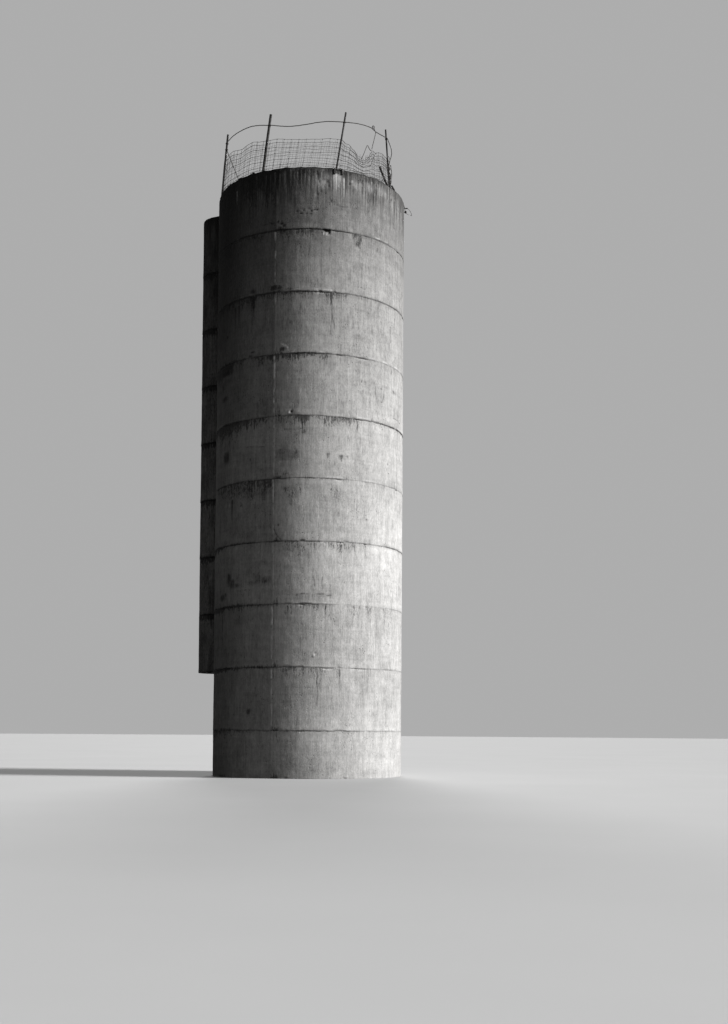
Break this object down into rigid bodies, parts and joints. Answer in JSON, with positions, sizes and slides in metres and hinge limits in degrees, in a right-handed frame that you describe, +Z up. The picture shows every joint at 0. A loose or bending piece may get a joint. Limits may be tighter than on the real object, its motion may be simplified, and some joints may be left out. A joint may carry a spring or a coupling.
{
  "type": "concrete tower silo",
  "caption": "Open-topped cast concrete tower silo in stacked ring lifts, with a round-fronted unloading chute and a damaged wire fence on the rim.",
  "frame": {"origin": "on the silo's axis at ground level, at the middle of the floor slab's underside", "axes": "+Z up along the silo's axis; the unloading chute stands on the -X side"},
  "size_m": [4.5498, 3.8608, 13.145],
  "materials": {
    "concrete_wall": "weathered cast concrete with streaks, pits and stains",
    "concrete_chute": "weathered cast concrete, dark in its joints",
    "concrete_floor": "floated concrete, dirty",
    "post_steel": "rusted steel post",
    "wire_steel": "weathered fence wire, dull and rusty"
  },
  "bodies": {
    "root": {"lift_01": "concrete_wall", "lift_02": "concrete_wall", "lift_03": "concrete_wall", "lift_04": "concrete_wall", "lift_05": "concrete_wall", "lift_06": "concrete_wall", "lift_07": "concrete_wall", "lift_08": "concrete_wall", "lift_09": "concrete_wall", "lift_10": "concrete_wall", "floor_slab": "concrete_floor", "chute_lift_03": "concrete_chute", "chute_lift_04": "concrete_chute", "chute_lift_05": "concrete_chute", "chute_lift_06": "concrete_chute", "chute_lift_07": "concrete_chute", "chute_lift_08": "concrete_chute", "chute_lift_09": "concrete_chute", "chute_lift_10": "concrete_chute", "fence_post_1": "post_steel", "fence_post_2": "post_steel", "fence_post_3": "post_steel", "fence_post_4": "post_steel", "fence_post_5": "post_steel", "fence_post_6": "post_steel", "broken_post": "post_steel", "fallen_bar": "post_steel", "front_hoop": "wire_steel", "back_hoop": "wire_steel", "loose_wire": "wire_steel", "brace_wire": "wire_steel", "fence_panel_1": "wire_steel", "fence_panel_2": "wire_steel", "fence_panel_3": "wire_steel", "fence_panel_4": "wire_steel"}
  },
  "joints": []
}
